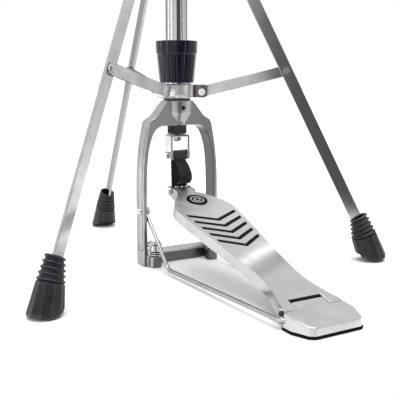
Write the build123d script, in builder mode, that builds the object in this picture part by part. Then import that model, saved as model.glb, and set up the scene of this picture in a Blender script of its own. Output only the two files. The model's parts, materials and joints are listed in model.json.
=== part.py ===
from build123d import *
import os
from math import atan2, cos, degrees, hypot, radians, sin

# Hi-hat stand: cast pedal frame, strap-drive footboard, three flat folding legs, rod, seat and clutch.
# Millimetres, +Z up. The origin is on the floor under the column, +Y points away from the player,
# so the footboard reaches towards -Y.

os.makedirs("parts", exist_ok=True)

# ---- driving dimensions -------------------------------------------------------------------------
# Column
ROD_R = 3.0                      # pull rod
TUBE_R, TUBE_WALL = 12.7, 1.5    # lower tube
UPPER_R, UPPER_WALL = 9.5, 1.5   # height-adjustable tube
RUN = 0.08                       # radial clearance of running and sliding fits
TUBE_BOTTOM, TUBE_TOP = 182.0, 590.0
UPPER_BOTTOM, UPPER_TOP = 420.0, 680.0
ROD_JOINT, ROD_TOP = 602.0, 920.0

# Cast frame
FRAME_DEPTH = 21.0
UPRIGHT_OUT, UPRIGHT_T = 51.5, 5.0
UPRIGHT_IN = UPRIGHT_OUT - UPRIGHT_T
HUB_LOW, HUB_TOP, HUB_R = 168.5, 198.3, 16.8
POCKET = 0.7                     # depth of the panels sunk into the uprights
BAR_FRONT, BAR_BACK = -2.0, 10.5
SPUR_X, SPUR_Y = 39.5, -15.0
ROD_PIVOT_Z = 66.0

# Swivel ring, legs and braces (r is the distance from the column, t is sideways from the leg's plane)
LEG_AZIMUTHS = {"left": 210.0, "right": 330.0, "rear": 90.0}
RING_LOW, RING_TOP, RING_R = 201.0, 217.7, 17.5
LUG_BACK, LUG_FRONT = -7.0, 6.8
RING_PIVOT = (30.0, 208.3)
LEG_TOP = (28.0, 441.0)
FOOT_R, APEX = 249.0, 497.0      # the leg's centre line meets the floor and the column axis here
LEG_W, LEG_T = 14.0, 3.5
BRACE_W, BRACE_T = 13.0, 3.0
BRACE_R = 131.9                  # the brace meets the leg at this r

# Pedal (the board's own frame: s runs up its slope from the heel, n is its normal)
BOARD_ANGLE = 17.1
BOARD_HEEL = (0.0, -266.0, 16.1)
BOARD_T, FLANGE = 2.5, 12.0
HINGE_Y, HINGE_Z, HINGE_R = -260.5, 12.6, 2.5
HEEL_FRONT = -266.4              # parting line between heel plate and footboard
KNUCKLE_R = 4.95
TOE_Y, TOE_Z, TOE_R = -4.0, 89.0, 2.5
CLEVIS_PIN_Z = 132.5
CLEVIS_OUT, CLEVIS_T, CLEVIS_DEPTH = 13.0, 2.8, 17.0
STRAP_W, STRAP_T = 14.6, 2.2
WIRE_R = 2.2
SET_SCREW_Z, SET_SCREW_R = 189.5, 2.7
SPUR_R = 3.0


def save(part, name):
    """Label a finished piece and write it as its own STEP file."""
    part.label = name
    export_step(part, f"parts/{name}.step")


def radial_plane(azimuth, side=0.0):
    """Upright plane through the column: x outward, y up, moved sideways; it extrudes clockwise."""
    a = radians(azimuth)
    return Plane(origin=(-sin(a) * side, cos(a) * side, 0), x_dir=(cos(a), sin(a), 0),
                 z_dir=(sin(a), -cos(a), 0))


def radial_point(azimuth, r, z, side=0.0):
    """Point at distance r from the column, height z, moved sideways from the leg's plane."""
    a = radians(azimuth)
    return (cos(a) * r - sin(a) * side, sin(a) * r + cos(a) * side, z)


def board_plane(height=0.0):
    """Plane parallel to the footboard's top: x across, y up the slope."""
    a = radians(BOARD_ANGLE)
    return Plane(origin=BOARD_HEEL, x_dir=(1, 0, 0), z_dir=(0, -sin(a), cos(a))).offset(height)


def tube(outer, inner, low, high):
    """Plain tube or washer on the column axis."""
    with BuildPart() as piece:
        with BuildSketch(Plane.XY.offset(low)):
            Circle(outer)
            Circle(inner, mode=Mode.SUBTRACT)
        extrude(amount=high - low)
    return piece.part


def spun(points):
    """Ring turned about the column axis from its half section, given as (r, z) points."""
    with BuildPart() as piece:
        with BuildSketch(Plane.XZ):
            Polygon(*points, align=None)
        revolve(axis=Axis.Z)
    return piece.part


def wing_screw(base, shank_r, shank, span, rise):
    """Wing screw: its tip is at the base plane's origin and its head stands out along the normal."""
    with BuildPart() as piece:
        with BuildSketch(base):
            Circle(shank_r)
        extrude(amount=shank)
        with BuildSketch(base.offset(shank)):
            Circle(shank_r * 1.9)
        extrude(amount=rise * 0.45, taper=8)
        flat = Plane(origin=base.offset(shank).origin, x_dir=base.x_dir, z_dir=-base.y_dir)
        with BuildSketch(flat):
            for side in (1, -1):
                with Locations((side * span * 0.29, rise * 0.58)):
                    Ellipse(span * 0.24, rise * 0.36, rotation=side * 48)
        extrude(amount=shank_r * 0.6, both=True)
    return piece.part


# ---- cast frame and what is fixed to it ---------------------------------------------------------
def upright_bow(foot, shift=0.0):
    """Leaning upper side of an upright, from the top of its straight foot to the shoulder."""
    return Spline(foot @ 1, (50.4 + shift, 120), (46.9 + shift, 150), (43.2 + shift, 168),
                  tangents=[(0, 1), (-0.24, 1)])


with BuildPart() as yoke_frame:
    with BuildSketch(Plane.XZ.offset(-FRAME_DEPTH / 2)):
        with BuildLine():
            outer_foot = Line((UPRIGHT_OUT, 0), (UPRIGHT_OUT, 70))
            outer_bow = upright_bow(outer_foot)
            inner_foot = Line((UPRIGHT_IN, 0), (UPRIGHT_IN, 70))
            inner_bow = Spline(inner_foot @ 1, (45.2, 122), (41.6, 146), tangents=[(0, 1), (-0.28, 1)])
            arch = Spline(inner_bow @ 1, (35.5, 161), (23.0, HUB_LOW), tangents=[(-0.28, 1), (-1, 0.1)])
            Line(outer_foot @ 0, inner_foot @ 0)
            corner = ThreePointArc(outer_bow @ 1, (40.9, 174.2), (36.0, 177.5))
            web = Polyline(corner @ 1, (31.5, 180.5), (20.5, 194.0), (16.0, HUB_TOP), (0, HUB_TOP))
            Polyline(arch @ 1, (0, HUB_LOW), web @ 1)
        make_face()
        mirror(about=Plane.YZ)
    extrude(amount=FRAME_DEPTH)
    with BuildSketch(Plane.XZ):
        Polygon((0, HUB_LOW), (11.6, HUB_LOW), (12.4, 175), (HUB_R, 184), (HUB_R, HUB_TOP), (0, HUB_TOP),
                align=None)
    revolve(axis=Axis.Z)
    with BuildSketch(Plane.XY):
        for side in (1, -1):
            with Locations((side * SPUR_X, SPUR_Y - 0.5)):
                RectangleRounded(14, 13, 4)
            with Locations((side * (UPRIGHT_IN - 3), -8)):
                Rectangle(8, 8)
    extrude(amount=13)
    with BuildSketch(Plane.XZ.offset(-FRAME_DEPTH / 2 + 4)):
        with BuildLine():
            floor_of_panel = Line((UPRIGHT_OUT - POCKET, 18), (UPRIGHT_OUT - POCKET, 70))
            bow_of_panel = upright_bow(floor_of_panel, -POCKET)
            Polyline(bow_of_panel @ 1, (60, 168), (60, 18), floor_of_panel @ 0)
        make_face()
        mirror(about=Plane.YZ)
    extrude(amount=FRAME_DEPTH - 8, mode=Mode.SUBTRACT)
    with BuildSketch(Plane.XY.offset(TUBE_BOTTOM)):
        Circle(TUBE_R)
    extrude(amount=HUB_TOP - TUBE_BOTTOM, mode=Mode.SUBTRACT)
    with BuildSketch(Plane.XY.offset(HUB_LOW)):
        Circle(6.0)
    extrude(amount=TUBE_BOTTOM - HUB_LOW, mode=Mode.SUBTRACT)
    with BuildSketch(Plane.XZ.offset(TUBE_R - 1)):
        with Locations((0, SET_SCREW_Z)):
            Circle(SET_SCREW_R)
    extrude(amount=10, mode=Mode.SUBTRACT)
    with BuildSketch(Plane.YZ.offset(-60)):
        with Locations((0, ROD_PIVOT_Z)):
            Circle(TOE_R)
    extrude(amount=120, mode=Mode.SUBTRACT)
    with BuildSketch(Plane.XY):
        with Locations((SPUR_X, SPUR_Y), (-SPUR_X, SPUR_Y)):
            Circle(SPUR_R + RUN)
    extrude(amount=14, mode=Mode.SUBTRACT)
save(yoke_frame.part, "yoke_frame")

with BuildPart() as hub_set_screw:
    with BuildSketch(Plane.XZ.offset(TUBE_R)):
        with Locations((0, SET_SCREW_Z)):
            Circle(SET_SCREW_R)
            RegularPolygon(1.25, 6, mode=Mode.SUBTRACT)
    extrude(amount=2.6)
save(hub_set_screw.part, "hub_set_screw")

with BuildPart() as base_crossbar:
    with BuildSketch(Plane.YZ.offset(-UPRIGHT_IN)):
        with BuildLine():
            Polyline((BAR_FRONT, 0), (BAR_BACK, 0), (BAR_BACK, 16.4))
            ThreePointArc((BAR_BACK, 16.4), (4.6, 15.1), (BAR_FRONT, 11.4))
            Line((BAR_FRONT, 11.4), (BAR_FRONT, 0))
        make_face()
    extrude(amount=2 * UPRIGHT_IN)
    with BuildSketch(Plane.XY):
        for side in (1, -1):
            with Locations((side * (UPRIGHT_IN - 3), -8)):
                Rectangle(8.01, 12)
    extrude(amount=13, mode=Mode.SUBTRACT)
save(base_crossbar.part, "base_crossbar")

with BuildPart() as hub_bush:
    with BuildSketch(Plane.XY.offset(HUB_LOW - 10)):
        Circle(11.7)
    extrude(amount=10)
    with BuildSketch(Plane.XY.offset(HUB_LOW - 10)):
        with PolarLocations(11.7, 24):
            Circle(0.7)
    extrude(amount=7, mode=Mode.SUBTRACT)
    with BuildSketch(Plane.XY.offset(HUB_LOW)):
        Circle(6.0)
    extrude(amount=12)
    with BuildSketch(Plane.XY.offset(HUB_LOW - 11)):
        Circle(ROD_R + RUN)
    extrude(amount=24, mode=Mode.SUBTRACT)
save(hub_bush.part, "hub_bush")

save(tube(TUBE_R, TUBE_R - TUBE_WALL, TUBE_BOTTOM, TUBE_TOP), "lower_tube")
save(tube(16.4, TUBE_R, HUB_TOP, RING_LOW - 0.2), "swivel_washer")

with BuildPart() as rod_pivot_bolts:
    for side in (1, -1):
        with BuildSketch(Plane.YZ.offset(side * (UPRIGHT_OUT - POCKET))):
            with Locations((0, ROD_PIVOT_Z)):
                Circle(TOE_R)
        extrude(amount=-side * 12.2)
        with BuildSketch(Plane.YZ.offset(side * (UPRIGHT_OUT - POCKET))):
            with Locations((0, ROD_PIVOT_Z)):
                Circle(4.4)
        extrude(amount=side * 2.6, taper=12)
        with BuildSketch(Plane.YZ.offset(side * (UPRIGHT_IN - 4.6))):
            with Locations((0, ROD_PIVOT_Z)):
                RegularPolygon(4.4, 6)
        extrude(amount=-side * 3.4)
save(rod_pivot_bolts.part, "rod_pivot_bolts")


def base_rod(side):
    """Bent wire that ties an upright's pivot to the heel plate."""
    eye_x = side * (UPRIGHT_IN - 2.4)
    with BuildPart() as rod:
        with BuildLine() as route:
            FilletPolyline((eye_x, -2.9, ROD_PIVOT_Z - 3.0), (side * 43.0, -57, 6.2),
                           (side * 38.9, -262, 8.6), (side * 31.0, -274, 8.6), radius=14)
        with BuildSketch(Plane(origin=route.wires()[0] @ 0, z_dir=route.wires()[0] % 0)):
            Circle(WIRE_R)
        sweep()
        with BuildSketch(Plane.YZ.offset(side * (UPRIGHT_IN - 0.2))):
            with Locations((0, ROD_PIVOT_Z)):
                Circle(5.0)
        extrude(amount=-side * 4.4)
        with BuildSketch(Plane.YZ.offset(side * UPRIGHT_IN)):
            with Locations((0, ROD_PIVOT_Z)):
                Circle(TOE_R)
        extrude(amount=-side * 5, mode=Mode.SUBTRACT)
    return rod.part


base_rods = {"left": base_rod(-1), "right": base_rod(1)}
for name, rod in base_rods.items():
    save(rod, f"base_rod_{name}")

# ---- heel ---------------------------------------------------------------------------------------
def heel_outline(front):
    """Top view of the heel plate: square shoulders at the front and cut corners at the back."""
    with BuildSketch() as outline:
        Polygon((-36.6, front), (-37.6, -280), (-31, -298), (-26, -301.5), (26, -301.5), (31, -298),
                (37.6, -280), (36.6, front), align=None)
        fillet(outline.vertices().group_by(Axis.Y)[0], radius=5)
    return outline.sketch


with BuildPart() as heel_plate:
    with BuildSketch(Plane.XY.offset(2)):
        add(heel_outline(HEEL_FRONT + 5))
    extrude(amount=16, taper=7)
    with BuildSketch(Plane.YZ.offset(-50)):
        Polygon((-310, 8.5), (HEEL_FRONT, 15.95), (HEEL_FRONT, 0), (-240, 0), (-240, 40), (-310, 40),
                align=None)
    extrude(amount=100, mode=Mode.SUBTRACT)
    with BuildSketch(Plane.YZ.offset(-18.6)):
        Polygon((-268, 3.5), (-259, 6.5), (-254.9, 12.5), (-254.9, 19.4), (HEEL_FRONT, 15.9), (-268, 15.6),
                align=None)
    extrude(amount=37.2)
    with BuildSketch(Plane.YZ.offset(-40)):
        with Locations((HINGE_Y, HINGE_Z)):
            Circle(HINGE_R)
    extrude(amount=80, mode=Mode.SUBTRACT)
    for rod in base_rods.values():
        add(rod, mode=Mode.SUBTRACT)
save(heel_plate.part, "heel_plate")

with BuildPart() as heel_pad:
    with BuildSketch():
        add(heel_outline(HEEL_FRONT))
        offset(amount=0.6)
    extrude(amount=2)
save(heel_pad.part, "heel_pad")

with BuildPart() as hinge_pin:
    with BuildSketch(Plane.YZ.offset(-35.4)):
        with Locations((HINGE_Y, HINGE_Z)):
            Circle(HINGE_R)
    extrude(amount=70.8)
    chamfer(edges().filter_by(GeomType.CIRCLE), length=0.5)
save(hinge_pin.part, "hinge_pin")

# ---- footboard ----------------------------------------------------------------------------------
def board_outline(inset=0.0):
    """Top view of the footboard in its own frame: flared heel, slim waist, wide tread and toe neck."""
    def beside(x, y):
        return (x - inset, y)

    toe = 262 - inset
    with BuildLine() as half:
        heel = Spline(beside(34.0, 0), beside(29.8, 16), beside(26.4, 28), beside(23.1, 46),
                      beside(23.4, 70), beside(27.6, 112), beside(33.0, 154), beside(37.6, 200))
        shoulder = Spline(heel @ 1, beside(37.2, 210), beside(30.0, 227.5), beside(21.0, 240),
                          beside(11.4, 249), tangents=[heel % 1, (-0.6, 0.5)])
        Polyline(shoulder @ 1, beside(10.4, 252.5), beside(10.4, toe), (0, toe), (0, 0), heel @ 0)
    with BuildSketch() as outline:
        make_face(half.edges())
        mirror(about=Plane.YZ)
    return outline.sketch


def chevron(vertex, half, reach, width):
    """One V-shaped tread groove, open towards the toe."""
    with BuildSketch() as outline:
        Polygon((0, vertex), (half, vertex + reach), (half, vertex + reach + width), (0, vertex + width),
                (-half, vertex + reach + width), (-half, vertex + reach), align=None)
    return outline.sketch


STRIP_W, STRIP_PROUD = 4.1, 0.3
CHEVRONS = [(115.6 + 14.75 * i, 25.6 + 1.35 * i, 15.9) for i in range(5)]

with BuildPart() as footboard:
    with BuildSketch(board_plane()):
        add(board_outline())
    extrude(amount=-FLANGE)
    with BuildSketch(board_plane(-BOARD_T)):
        add(board_outline(BOARD_T))
    extrude(amount=-FLANGE, mode=Mode.SUBTRACT)
    with BuildSketch(Plane.YZ.offset(-33.2)):
        with Locations((HINGE_Y, HINGE_Z)):
            Circle(KNUCKLE_R)
    extrude(amount=66.4)
    with BuildSketch(board_plane(10)):
        with Locations((0, 3.9)):
            Rectangle(38.4, 23.8)
    extrude(amount=-30, mode=Mode.SUBTRACT)
    with BuildSketch(Plane.YZ.offset(-60)):
        with Locations((HINGE_Y, HINGE_Z)):
            Circle(HINGE_R + RUN)
    extrude(amount=120, mode=Mode.SUBTRACT)
    for vertex, half, reach in CHEVRONS:
        with BuildSketch(board_plane()):
            add(chevron(vertex, half, reach, STRIP_W))
        extrude(amount=-BOARD_T, mode=Mode.SUBTRACT)
save(footboard.part, "footboard")

with BuildPart() as grip_strips:
    for vertex, half, reach in CHEVRONS:
        with BuildSketch(board_plane(STRIP_PROUD)):
            add(chevron(vertex, half, reach, STRIP_W))
        extrude(amount=-BOARD_T - STRIP_PROUD)
save(grip_strips.part, "grip_strips")

with BuildPart() as toe_badge:
    with BuildSketch(board_plane()):
        with Locations((0, 227.5)):
            Circle(12.6)
    extrude(amount=1.0)
    fillet(edges().group_by(Axis.Z)[-1], radius=0.4)
save(toe_badge.part, "toe_badge")

EAR_IN, EAR_T = 10.9, 2.0
with BuildPart() as toe_bracket:
    for side in (1, -1):
        with BuildSketch(Plane.YZ.offset(side * EAR_IN)):
            with BuildLine():
                Polyline((TOE_Y + 1, TOE_Z + 5.9), (-21, 91.5), (-23, 90), (-23, 78.2), (-22.4, 76.2),
                         (-15, 78.5), (TOE_Y + 1, TOE_Z - 5.9))
                ThreePointArc((TOE_Y + 1, TOE_Z - 5.9), (TOE_Y + 6.5, TOE_Z), (TOE_Y + 1, TOE_Z + 5.9))
            make_face()
        extrude(amount=side * EAR_T)
    with BuildSketch(Plane.YZ.offset(-EAR_IN)):
        Polygon((-22.4, 76.2), (-15, 78.5), (-15.5, 80.5), (-23, 78.2), align=None)
    extrude(amount=2 * EAR_IN)
    with BuildSketch(Plane.YZ.offset(-20)):
        with Locations((TOE_Y, TOE_Z)):
            Circle(TOE_R)
    extrude(amount=40, mode=Mode.SUBTRACT)
save(toe_bracket.part, "toe_bracket")


def cross_bolt(y, z, radius, half_grip, head_r):
    """Bolt along X with a domed head on the left and a hexagon nut on the right."""
    with BuildPart() as bolt:
        with BuildSketch(Plane.YZ.offset(-half_grip)):
            with Locations((y, z)):
                Circle(radius)
        extrude(amount=2 * half_grip + 4)
        with BuildSketch(Plane.YZ.offset(-half_grip)):
            with Locations((y, z)):
                Circle(head_r)
        extrude(amount=-3.2, taper=14)
        with BuildSketch(Plane.YZ.offset(half_grip)):
            with Locations((y, z)):
                RegularPolygon(head_r, 6)
        extrude(amount=3.4)
    return bolt.part


save(cross_bolt(TOE_Y, TOE_Z, TOE_R, 12.9, 4.4), "toe_bolt")

# ---- strap, clevis and pull rods ----------------------------------------------------------------
CLAMP_LOW, CLAMP_TOP = 126.5, 138.0
PLY_BACK, PLY_FRONT = 2.4, -6.4  # centre lines of the strap's two plies inside the clamp


LOOP_R = 5.1                     # centre line of the strap's bend under the toe bolt
with BuildPart() as strap:
    with BuildSketch(Plane.YZ.offset(-STRAP_W / 2)):
        with BuildLine() as loop:
            back = Polyline((PLY_BACK, CLAMP_LOW + 3.4), (PLY_BACK, CLAMP_LOW - 1), (TOE_Y + LOOP_R, TOE_Z))
            bend = ThreePointArc(back @ 1, (TOE_Y, TOE_Z - LOOP_R), (TOE_Y - LOOP_R, TOE_Z))
            Polyline(bend @ 1, (PLY_FRONT, CLAMP_LOW - 1), (PLY_FRONT, CLAMP_LOW + 3.4))
        trace(line_width=STRAP_T)
    extrude(amount=STRAP_W)
save(strap.part, "strap")

with BuildPart() as strap_clamp:
    with BuildSketch(Plane.YZ.offset(-9.2)):
        with Locations(((PLY_BACK + PLY_FRONT) / 2, (CLAMP_LOW + CLAMP_TOP) / 2)):
            RectangleRounded(13.0, CLAMP_TOP - CLAMP_LOW, 2.5)
    extrude(amount=18.4)
    add(strap.part, mode=Mode.SUBTRACT)
    with BuildSketch(Plane.YZ.offset(-20)):
        with Locations((0, CLEVIS_PIN_Z)):
            Circle(TOE_R + RUN)
    extrude(amount=40, mode=Mode.SUBTRACT)
save(strap_clamp.part, "strap_clamp")

CLEVIS_LOW, CLEVIS_TOP = 127.0, 157.5
with BuildPart() as clevis:
    with BuildSketch(Plane.XZ.offset(-CLEVIS_DEPTH / 2)):
        with Locations((0, (CLEVIS_LOW + CLEVIS_TOP) / 2)):
            Rectangle(2 * CLEVIS_OUT, CLEVIS_TOP - CLEVIS_LOW)
        with Locations((0, (CLEVIS_LOW + CLEVIS_TOP) / 2 - CLEVIS_T)):
            Rectangle(2 * (CLEVIS_OUT - CLEVIS_T), CLEVIS_TOP - CLEVIS_LOW, mode=Mode.SUBTRACT)
    extrude(amount=CLEVIS_DEPTH)
    fillet(edges().filter_by(Axis.Y).group_by(Axis.Z)[-1], radius=2.6)
    with BuildSketch(Plane.YZ.offset(-20)):
        with Locations((0, CLEVIS_PIN_Z)):
            Circle(TOE_R)
    extrude(amount=40, mode=Mode.SUBTRACT)
    with BuildSketch(Plane.XY.offset(CLEVIS_TOP - 10)):
        Circle(ROD_R)
    extrude(amount=12, mode=Mode.SUBTRACT)
save(clevis.part, "clevis")
save(cross_bolt(0, CLEVIS_PIN_Z, TOE_R, CLEVIS_OUT, 4.2), "clevis_bolt")

with BuildPart() as clevis_nut:
    with BuildSketch(Plane.XY.offset(CLEVIS_TOP - CLEVIS_T - 5)):
        RegularPolygon(5.4, 6)
        Circle(ROD_R, mode=Mode.SUBTRACT)
    extrude(amount=5)
save(clevis_nut.part, "clevis_nut")

for name, low, high in (("pull_rod_lower", CLEVIS_TOP - CLEVIS_T - 6, ROD_JOINT),
                        ("pull_rod_upper", ROD_JOINT, ROD_TOP)):
    with BuildPart() as rod:
        with BuildSketch(Plane.XY.offset(low)):
            Circle(ROD_R)
        extrude(amount=high - low)
        chamfer(rod.edges().filter_by(GeomType.CIRCLE), length=0.4)
    save(rod.part, name)

with BuildPart() as rod_coupling:
    with BuildSketch(Plane.XY.offset(ROD_JOINT - 12)):
        RegularPolygon(5.5, 6)
        Circle(ROD_R, mode=Mode.SUBTRACT)
    extrude(amount=24)
save(rod_coupling.part, "rod_coupling")

# ---- return spring inside the lower tube and its tension knob -----------------------------------
SPRING_SEAT, SPRING_TOP = 187.0, 300.0
WIRE_SPRING_R, COIL_R, COIL_PITCH = 0.9, 8.6, 9.4
save(spun([(ROD_R + 0.3, TUBE_BOTTOM + 1), (TUBE_R - TUBE_WALL, TUBE_BOTTOM + 1),
           (TUBE_R - TUBE_WALL, SPRING_SEAT), (ROD_R + 0.3, SPRING_SEAT)]), "spring_seat")
save(spun([(ROD_R, SPRING_TOP), (10.4, SPRING_TOP), (10.4, SPRING_TOP + 3), (6, SPRING_TOP + 8),
           (ROD_R, SPRING_TOP + 8)]), "spring_cap")

with BuildPart() as tension_spring:
    with BuildLine(Plane.XY.offset(SPRING_SEAT + WIRE_SPRING_R + 0.1)):
        coil = Helix(COIL_PITCH, SPRING_TOP - SPRING_SEAT - 2 * WIRE_SPRING_R - 0.2, COIL_R)
    with BuildSketch(Plane(origin=coil @ 0, z_dir=coil % 0)):
        Circle(WIRE_SPRING_R)
    sweep(is_frenet=True)
save(tension_spring.part, "tension_spring")

COLLAR_R = 15.5
KNOB_LOW, KNOB_TOP, KNOB_LOW_R, KNOB_TOP_R = 219.2, 268.0, 20.3, 24.4
save(spun([(TUBE_R, RING_TOP + 0.3), (COLLAR_R + 1.5, RING_TOP + 0.3), (COLLAR_R + 1.5, KNOB_LOW - 0.3),
           (COLLAR_R, KNOB_LOW - 0.3), (COLLAR_R, KNOB_TOP + 1), (TUBE_R, KNOB_TOP + 1)]), "tension_collar")

with BuildPart() as tension_knob:
    with BuildSketch(Plane.XZ):
        Polygon((COLLAR_R + RUN, KNOB_LOW), (KNOB_LOW_R, KNOB_LOW), (KNOB_TOP_R - 1, 252.5),
                (KNOB_TOP_R, 253.5), (KNOB_TOP_R + 0.6, KNOB_TOP), (COLLAR_R + RUN, KNOB_TOP), align=None)
    revolve(axis=Axis.Z)
    lean = degrees(atan2(KNOB_TOP_R - 1 - KNOB_LOW_R, 252.5 - KNOB_LOW))
    for i in range(18):
        turn = Rotation(0, 0, i * 20)
        groove = Plane(turn * Location((KNOB_LOW_R + 0.9, 0, KNOB_LOW - 2), (0, lean, 0)))
        with BuildSketch(groove):
            Circle(1.7)
        extrude(amount=34, mode=Mode.SUBTRACT)
save(tension_knob.part, "tension_knob")

# ---- swivel ring, braces and legs ---------------------------------------------------------------
BRACE_SLOPE = atan2((APEX - APEX * BRACE_R / FOOT_R) - RING_PIVOT[1], BRACE_R - RING_PIVOT[0])
BRACE_Z = APEX - APEX * BRACE_R / FOOT_R
BRACE_LEN = hypot(BRACE_R - RING_PIVOT[0], BRACE_Z - RING_PIVOT[1])
BOLT_R = 3.0

with BuildPart() as swivel_ring:
    with BuildSketch(Plane.XZ):
        Polygon((TUBE_R + RUN, RING_LOW), (RING_R + 0.8, RING_LOW), (RING_R + 0.8, RING_LOW + 2.2),
                (RING_R, RING_LOW + 3), (RING_R, RING_TOP - 1), (RING_R - 1, RING_TOP),
                (TUBE_R + RUN, RING_TOP), align=None)
    revolve(axis=Axis.Z)
    for azimuth in LEG_AZIMUTHS.values():
        with BuildSketch(radial_plane(azimuth, LUG_FRONT)):
            with Locations((25.3, (RING_LOW + RING_TOP) / 2)):
                RectangleRounded(21.4, RING_TOP - RING_LOW - 1.4, 3)
        extrude(amount=LUG_FRONT - LUG_BACK)
    with BuildSketch(Plane.XY.offset(RING_LOW)):
        Circle(TUBE_R + RUN)
    extrude(amount=RING_TOP - RING_LOW, mode=Mode.SUBTRACT)
    for azimuth in LEG_AZIMUTHS.values():
        with BuildSketch(radial_plane(azimuth, 20)):
            with Locations(RING_PIVOT):
                Circle(BOLT_R)
        extrude(amount=40, mode=Mode.SUBTRACT)
save(swivel_ring.part, "swivel_ring")


def radial_bolts(pivot, front, back, head_r, azimuths):
    """Bolts across the legs' planes, from sideways position front to back, heads at both ends."""
    with BuildPart() as bolts:
        for azimuth in azimuths:
            with BuildSketch(radial_plane(azimuth, front)):
                with Locations(pivot):
                    Circle(BOLT_R)
            extrude(amount=front - back)
            with BuildSketch(radial_plane(azimuth, back)):
                with Locations(pivot):
                    Circle(head_r)
            extrude(amount=3.0, taper=12)
            with BuildSketch(radial_plane(azimuth, front)):
                with Locations(pivot):
                    RegularPolygon(head_r, 6)
            extrude(amount=-3.6)
    return bolts.part


save(radial_bolts(RING_PIVOT, 10.3, LUG_BACK, 5.0, LEG_AZIMUTHS.values()), "ring_bolts")


def brace(azimuth):
    """Flat strap from the swivel ring to its leg, joggled sideways to pass beside both."""
    a = radians(azimuth)
    along = Vector(cos(a) * cos(BRACE_SLOPE), sin(a) * cos(BRACE_SLOPE), sin(BRACE_SLOPE))
    up = Vector(-cos(a) * sin(BRACE_SLOPE), -sin(a) * sin(BRACE_SLOPE), cos(BRACE_SLOPE))
    joggle = [(-6.5, 8.65), (12, 8.65), (20, 6.8), (59, 3.65), (BRACE_LEN + 6.5, 3.65)]
    start = Vector(*radial_point(azimuth, *RING_PIVOT))
    with BuildPart() as strip:
        with BuildSketch(Plane(origin=start - up * BRACE_W / 2, x_dir=along, z_dir=up)):
            Polygon(*[(u, t + BRACE_T / 2) for u, t in joggle],
                    *[(u, t - BRACE_T / 2) for u, t in reversed(joggle)], align=None)
        extrude(amount=BRACE_W)
        side = Plane(origin=start, x_dir=along, z_dir=along.cross(up))
        with BuildSketch(side.offset(-20)):
            with Locations((BRACE_LEN / 2, 0)):
                SlotCenterToCenter(BRACE_LEN, BRACE_W)
        extrude(amount=40, mode=Mode.INTERSECT)
        with BuildSketch(side.offset(-20)):
            Circle(BOLT_R + RUN)
        extrude(amount=40, mode=Mode.SUBTRACT)
        with BuildSketch(radial_plane(azimuth, 3.65 + BRACE_T / 2 + 1.8)):
            with Locations((BRACE_R, BRACE_Z)):
                Circle(4.6)
        extrude(amount=2.5)
    return strip.part


for name, azimuth in LEG_AZIMUTHS.items():
    save(brace(azimuth), f"brace_{name}")

LEG_LEAN = atan2(FOOT_R, APEX)
FOOT_TIP = (FOOT_R - 24 * sin(LEG_LEAN), 24 * cos(LEG_LEAN))


def leg(azimuth):
    """Flat bar from the sliding hub to the rubber foot."""
    length = hypot(FOOT_TIP[0] - LEG_TOP[0], LEG_TOP[1] - FOOT_TIP[1])
    middle = ((FOOT_TIP[0] + LEG_TOP[0]) / 2, (FOOT_TIP[1] + LEG_TOP[1]) / 2)
    with BuildPart() as bar:
        with BuildSketch(radial_plane(azimuth, LEG_T / 2)):
            with Locations(Location((*middle, 0), (0, 0, degrees(LEG_LEAN) - 90))):
                SlotCenterToCenter(length, LEG_W)
            with Locations(LEG_TOP):
                Circle(BOLT_R + RUN, mode=Mode.SUBTRACT)
            with Locations((BRACE_R, BRACE_Z)):
                Circle(BOLT_R, mode=Mode.SUBTRACT)
        extrude(amount=LEG_T)
    return bar.part


def leg_bolt(azimuth):
    """Rivet in the leg at the brace's end; it stops flush with the face beside the brace."""
    with BuildPart() as rivet:
        with BuildSketch(radial_plane(azimuth, LEG_T / 2)):
            with Locations((BRACE_R, BRACE_Z)):
                Circle(BOLT_R)
        extrude(amount=LEG_T)
        with BuildSketch(radial_plane(azimuth, -LEG_T / 2)):
            with Locations((BRACE_R, BRACE_Z)):
                Circle(4.7)
        extrude(amount=2.4, taper=16)
    return rivet.part


def across_leg(azimuth, from_floor):
    """Plane square to the leg where its centre line is at this height."""
    r = FOOT_R * (1 - from_floor / APEX)
    a = radians(azimuth)
    down = (cos(a) * sin(LEG_LEAN), sin(a) * sin(LEG_LEAN), -cos(LEG_LEAN))
    return Plane(origin=radial_point(azimuth, r, from_floor), x_dir=(-sin(a), cos(a), 0), z_dir=down)


def foot(azimuth, bar):
    """Rubber foot: ribbed socket round the leg's end and a wide hoof with a ridged sole."""
    a = radians(azimuth)
    with BuildPart() as boot:
        with BuildSketch(across_leg(azimuth, 55)):
            Ellipse(8.7, 10.0)
        with BuildSketch(across_leg(azimuth, 31)):
            Ellipse(10.6, 15.0)
        loft()
        for i in range(5):
            with BuildSketch(across_leg(azimuth, 53.4 - i * 4.6)):
                Ellipse(9.5 + 0.36 * i, 11.0 + 0.95 * i)
            extrude(amount=2.2)
        sole = Plane(origin=radial_point(azimuth, 240, 0), x_dir=(-sin(a), cos(a), 0), z_dir=(0, 0, 1))
        with BuildSketch(across_leg(azimuth, 33)):
            Ellipse(10.6, 15.0)
        with BuildSketch(sole.offset(5)):
            Ellipse(15.6, 21.0)
        loft()
        with BuildSketch(sole):
            Ellipse(14.2, 19.4)
        with BuildSketch(sole.offset(5)):
            Ellipse(15.6, 21.0)
        loft()
        for i in range(-3, 4):
            with BuildSketch(radial_plane(azimuth, 20)):
                with Locations((240 + i * 5.6, 0)):
                    Circle(1.5)
            extrude(amount=40, mode=Mode.SUBTRACT)
        add(bar, mode=Mode.SUBTRACT)
    return boot.part


for name, azimuth in LEG_AZIMUTHS.items():
    bar = leg(azimuth)
    save(bar, f"leg_{name}")
    save(leg_bolt(azimuth), f"leg_rivet_{name}")
    save(foot(azimuth, bar), f"foot_{name}")

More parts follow.
